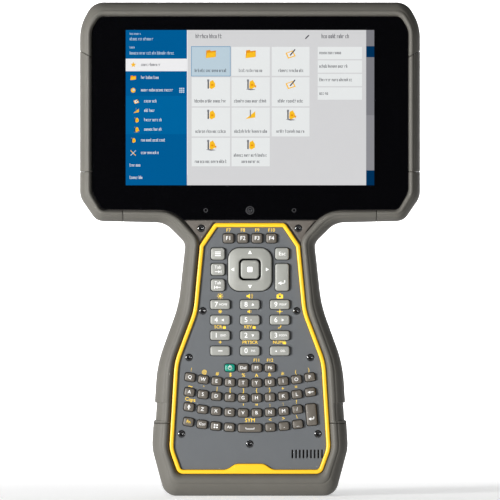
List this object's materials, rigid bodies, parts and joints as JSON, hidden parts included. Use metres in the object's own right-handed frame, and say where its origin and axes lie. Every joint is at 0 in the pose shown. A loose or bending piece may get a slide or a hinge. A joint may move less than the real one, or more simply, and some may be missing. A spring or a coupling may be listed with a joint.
{
  "type": "data collector",
  "caption": "Rugged handheld field data collector: wide touch display on a waisted grip with a full keypad, rubber bumpers, side port doors and a rear battery door.",
  "frame": {"origin": "middle of the bounding box's bottom, on the foot the unit stands on", "axes": "+Z from the foot to the top edge, +X to the right as seen by the user, the display and keypad face -Y"},
  "size_m": [0.2068, 0.05, 0.3],
  "materials": {
    "bumper": "satin overmoulded rubber, fine grain",
    "shell": "textured black moulding",
    "front_shell": "brown-grey moulding",
    "gasket": "soft seal",
    "cover_glass": "clear glass with a black border behind it",
    "display": "lit display",
    "trim": "satin yellow moulding",
    "plate": "satin blue-grey moulding",
    "mat": "black silicone",
    "boards": "green solder mask",
    "cells": "shrink-wrapped cells",
    "black_parts": "black mouldings",
    "screws": "blackened steel",
    "inserts": "knurled brass",
    "latch": "anodised",
    "light_keys": "satin light grey",
    "dark_keys": "satin dark brown-grey",
    "power_key": "green"
  },
  "bodies": {
    "unit": {"rear_housing": "shell", "front_housing": "front_shell", "housing_gasket": "gasket", "cover_glass": "cover_glass", "display_panel": "display", "bumper_top": "bumper", "bumper_corner_left": "bumper", "bumper_corner_right": "bumper", "bumper_neck_left": "bumper", "bumper_neck_right": "bumper", "bumper_bottom": "bumper", "keypad_trim": "trim", "keypad_plate": "plate", "keypad_mat": "mat", "keypad_board": "boards", "main_board": "boards", "battery_packs": "cells", "speaker": "black_parts", "front_camera": "black_parts", "rear_camera": "black_parts", "module_cover": "shell", "housing_screws": "screws", "mount_inserts": "inserts", "side_ports": "black_parts"},
    "left_port_door": {"port_door_left": "bumper"},
    "right_port_door": {"port_door_right": "bumper"},
    "battery_door": {"battery_door": "shell"},
    "battery_latch": {"battery_latch": "latch"},
    "direction_pivot": {"dpad_pivot": "mat"},
    "direction_ring": {"dpad_ring": "light_keys"},
    "select_key": {"key_select": "light_keys"},
    "key_f1": {"key_f1": "dark_keys"},
    "key_f2": {"key_f2": "dark_keys"},
    "key_f3": {"key_f3": "dark_keys"},
    "key_f4": {"key_f4": "dark_keys"},
    "key_menu": {"key_menu": "light_keys"},
    "key_tab_forward": {"key_tab_forward": "light_keys"},
    "key_tab_back": {"key_tab_back": "light_keys"},
    "key_escape": {"key_escape": "light_keys"},
    "key_enter": {"key_enter": "light_keys"},
    "key_7": {"key_7": "light_keys"},
    "key_8": {"key_8": "light_keys"},
    "key_9": {"key_9": "light_keys"},
    "key_4": {"key_4": "light_keys"},
    "key_5": {"key_5": "light_keys"},
    "key_6": {"key_6": "light_keys"},
    "key_1": {"key_1": "light_keys"},
    "key_2": {"key_2": "light_keys"},
    "key_3": {"key_3": "light_keys"},
    "key_minus": {"key_minus": "light_keys"},
    "key_0": {"key_0": "light_keys"},
    "key_point": {"key_point": "light_keys"},
    "key_power": {"key_power": "power_key"},
    "keys_delete_f5_f6": {"keys_delete_f5_f6": "dark_keys"},
    "keys_row_q": {"keys_row_q": "dark_keys"},
    "keys_row_a": {"keys_row_a": "dark_keys"},
    "keys_row_z": {"keys_row_z": "dark_keys"},
    "keys_row_fn": {"keys_row_fn": "dark_keys"},
    "key_space": {"key_space": "dark_keys"},
    "key_side_enter": {"key_side_enter": "dark_keys"}
  },
  "joints": [
    {"name": "left_port_door_swing", "type": "hinge", "parent": "unit", "child": "left_port_door", "pos_m": [-0.1018, 0.0052, 0.2325], "axis": [0, 0, -1], "range_deg": [0, 100]},
    {"name": "right_port_door_swing", "type": "hinge", "parent": "unit", "child": "right_port_door", "pos_m": [0.1018, 0.0052, 0.2325], "axis": [0, 0, 1], "range_deg": [0, 100]},
    {"name": "battery_door_swing", "type": "hinge", "parent": "unit", "child": "battery_door", "pos_m": [0, 0.0232, 0.0892], "axis": [1, 0, 0], "range_deg": [0, 110]},
    {"name": "battery_latch_turn", "type": "hinge", "parent": "battery_door", "child": "battery_latch", "pos_m": [0, 0.023, 0.018], "axis": [0, 1, 0], "range_deg": [0, 90]},
    {"name": "direction_pivot_tilt", "type": "hinge", "parent": "unit", "child": "direction_pivot", "pos_m": [0, -0.0187, 0.1376], "axis": [1, 0, 0], "range_deg": [-3, 3], "stiffness_Nm_per_rad": 2},
    {"name": "direction_ring_tilt", "type": "hinge", "parent": "direction_pivot", "child": "direction_ring", "pos_m": [0, -0.0187, 0.1376], "axis": [0, 0, 1], "range_deg": [-3, 3], "stiffness_Nm_per_rad": 2},
    {"name": "select_key_press", "type": "slide", "parent": "unit", "child": "select_key", "axis": [0, 1, 0], "range_m": [0, 0.001], "stiffness_N_per_m": 600},
    {"name": "key_f1_press", "type": "slide", "parent": "unit", "child": "key_f1", "axis": [0, 1, 0], "range_m": [0, 0.001], "stiffness_N_per_m": 600},
    {"name": "key_f2_press", "type": "slide", "parent": "unit", "child": "key_f2", "axis": [0, 1, 0], "range_m": [0, 0.001], "stiffness_N_per_m": 600},
    {"name": "key_f3_press", "type": "slide", "parent": "unit", "child": "key_f3", "axis": [0, 1, 0], "range_m": [0, 0.001], "stiffness_N_per_m": 600},
    {"name": "key_f4_press", "type": "slide", "parent": "unit", "child": "key_f4", "axis": [0, 1, 0], "range_m": [0, 0.001], "stiffness_N_per_m": 600},
    {"name": "key_menu_press", "type": "slide", "parent": "unit", "child": "key_menu", "axis": [0, 1, 0], "range_m": [0, 0.001], "stiffness_N_per_m": 600},
    {"name": "key_tab_forward_press", "type": "slide", "parent": "unit", "child": "key_tab_forward", "axis": [0, 1, 0], "range_m": [0, 0.001], "stiffness_N_per_m": 600},
    {"name": "key_tab_back_press", "type": "slide", "parent": "unit", "child": "key_tab_back", "axis": [0, 1, 0], "range_m": [0, 0.001], "stiffness_N_per_m": 600},
    {"name": "key_escape_press", "type": "slide", "parent": "unit", "child": "key_escape", "axis": [0, 1, 0], "range_m": [0, 0.001], "stiffness_N_per_m": 600},
    {"name": "key_enter_press", "type": "slide", "parent": "unit", "child": "key_enter", "axis": [0, 1, 0], "range_m": [0, 0.001], "stiffness_N_per_m": 600},
    {"name": "key_7_press", "type": "slide", "parent": "unit", "child": "key_7", "axis": [0, 1, 0], "range_m": [0, 0.001], "stiffness_N_per_m": 600},
    {"name": "key_8_press", "type": "slide", "parent": "unit", "child": "key_8", "axis": [0, 1, 0], "range_m": [0, 0.001], "stiffness_N_per_m": 600},
    {"name": "key_9_press", "type": "slide", "parent": "unit", "child": "key_9", "axis": [0, 1, 0], "range_m": [0, 0.001], "stiffness_N_per_m": 600},
    {"name": "key_4_press", "type": "slide", "parent": "unit", "child": "key_4", "axis": [0, 1, 0], "range_m": [0, 0.001], "stiffness_N_per_m": 600},
    {"name": "key_5_press", "type": "slide", "parent": "unit", "child": "key_5", "axis": [0, 1, 0], "range_m": [0, 0.001], "stiffness_N_per_m": 600},
    {"name": "key_6_press", "type": "slide", "parent": "unit", "child": "key_6", "axis": [0, 1, 0], "range_m": [0, 0.001], "stiffness_N_per_m": 600},
    {"name": "key_1_press", "type": "slide", "parent": "unit", "child": "key_1", "axis": [0, 1, 0], "range_m": [0, 0.001], "stiffness_N_per_m": 600},
    {"name": "key_2_press", "type": "slide", "parent": "unit", "child": "key_2", "axis": [0, 1, 0], "range_m": [0, 0.001], "stiffness_N_per_m": 600},
    {"name": "key_3_press", "type": "slide", "parent": "unit", "child": "key_3", "axis": [0, 1, 0], "range_m": [0, 0.001], "stiffness_N_per_m": 600},
    {"name": "key_minus_press", "type": "slide", "parent": "unit", "child": "key_minus", "axis": [0, 1, 0], "range_m": [0, 0.001], "stiffness_N_per_m": 600},
    {"name": "key_0_press", "type": "slide", "parent": "unit", "child": "key_0", "axis": [0, 1, 0], "range_m": [0, 0.001], "stiffness_N_per_m": 600},
    {"name": "key_point_press", "type": "slide", "parent": "unit", "child": "key_point", "axis": [0, 1, 0], "range_m": [0, 0.001], "stiffness_N_per_m": 600},
    {"name": "key_power_press", "type": "slide", "parent": "unit", "child": "key_power", "axis": [0, 1, 0], "range_m": [0, 0.001], "stiffness_N_per_m": 600},
    {"name": "keys_delete_f5_f6_press", "type": "slide", "parent": "unit", "child": "keys_delete_f5_f6", "axis": [0, 1, 0], "range_m": [0, 0.001], "stiffness_N_per_m": 600},
    {"name": "keys_row_q_press", "type": "slide", "parent": "unit", "child": "keys_row_q", "axis": [0, 1, 0], "range_m": [0, 0.001], "stiffness_N_per_m": 600},
    {"name": "keys_row_a_press", "type": "slide", "parent": "unit", "child": "keys_row_a", "axis": [0, 1, 0], "range_m": [0, 0.001], "stiffness_N_per_m": 600},
    {"name": "keys_row_z_press", "type": "slide", "parent": "unit", "child": "keys_row_z", "axis": [0, 1, 0], "range_m": [0, 0.001], "stiffness_N_per_m": 600},
    {"name": "keys_row_fn_press", "type": "slide", "parent": "unit", "child": "keys_row_fn", "axis": [0, 1, 0], "range_m": [0, 0.001], "stiffness_N_per_m": 600},
    {"name": "key_space_press", "type": "slide", "parent": "unit", "child": "key_space", "axis": [0, 1, 0], "range_m": [0, 0.001], "stiffness_N_per_m": 600},
    {"name": "key_side_enter_press", "type": "slide", "parent": "unit", "child": "key_side_enter", "axis": [0, 1, 0], "range_m": [0, 0.001], "stiffness_N_per_m": 600}
  ]
}
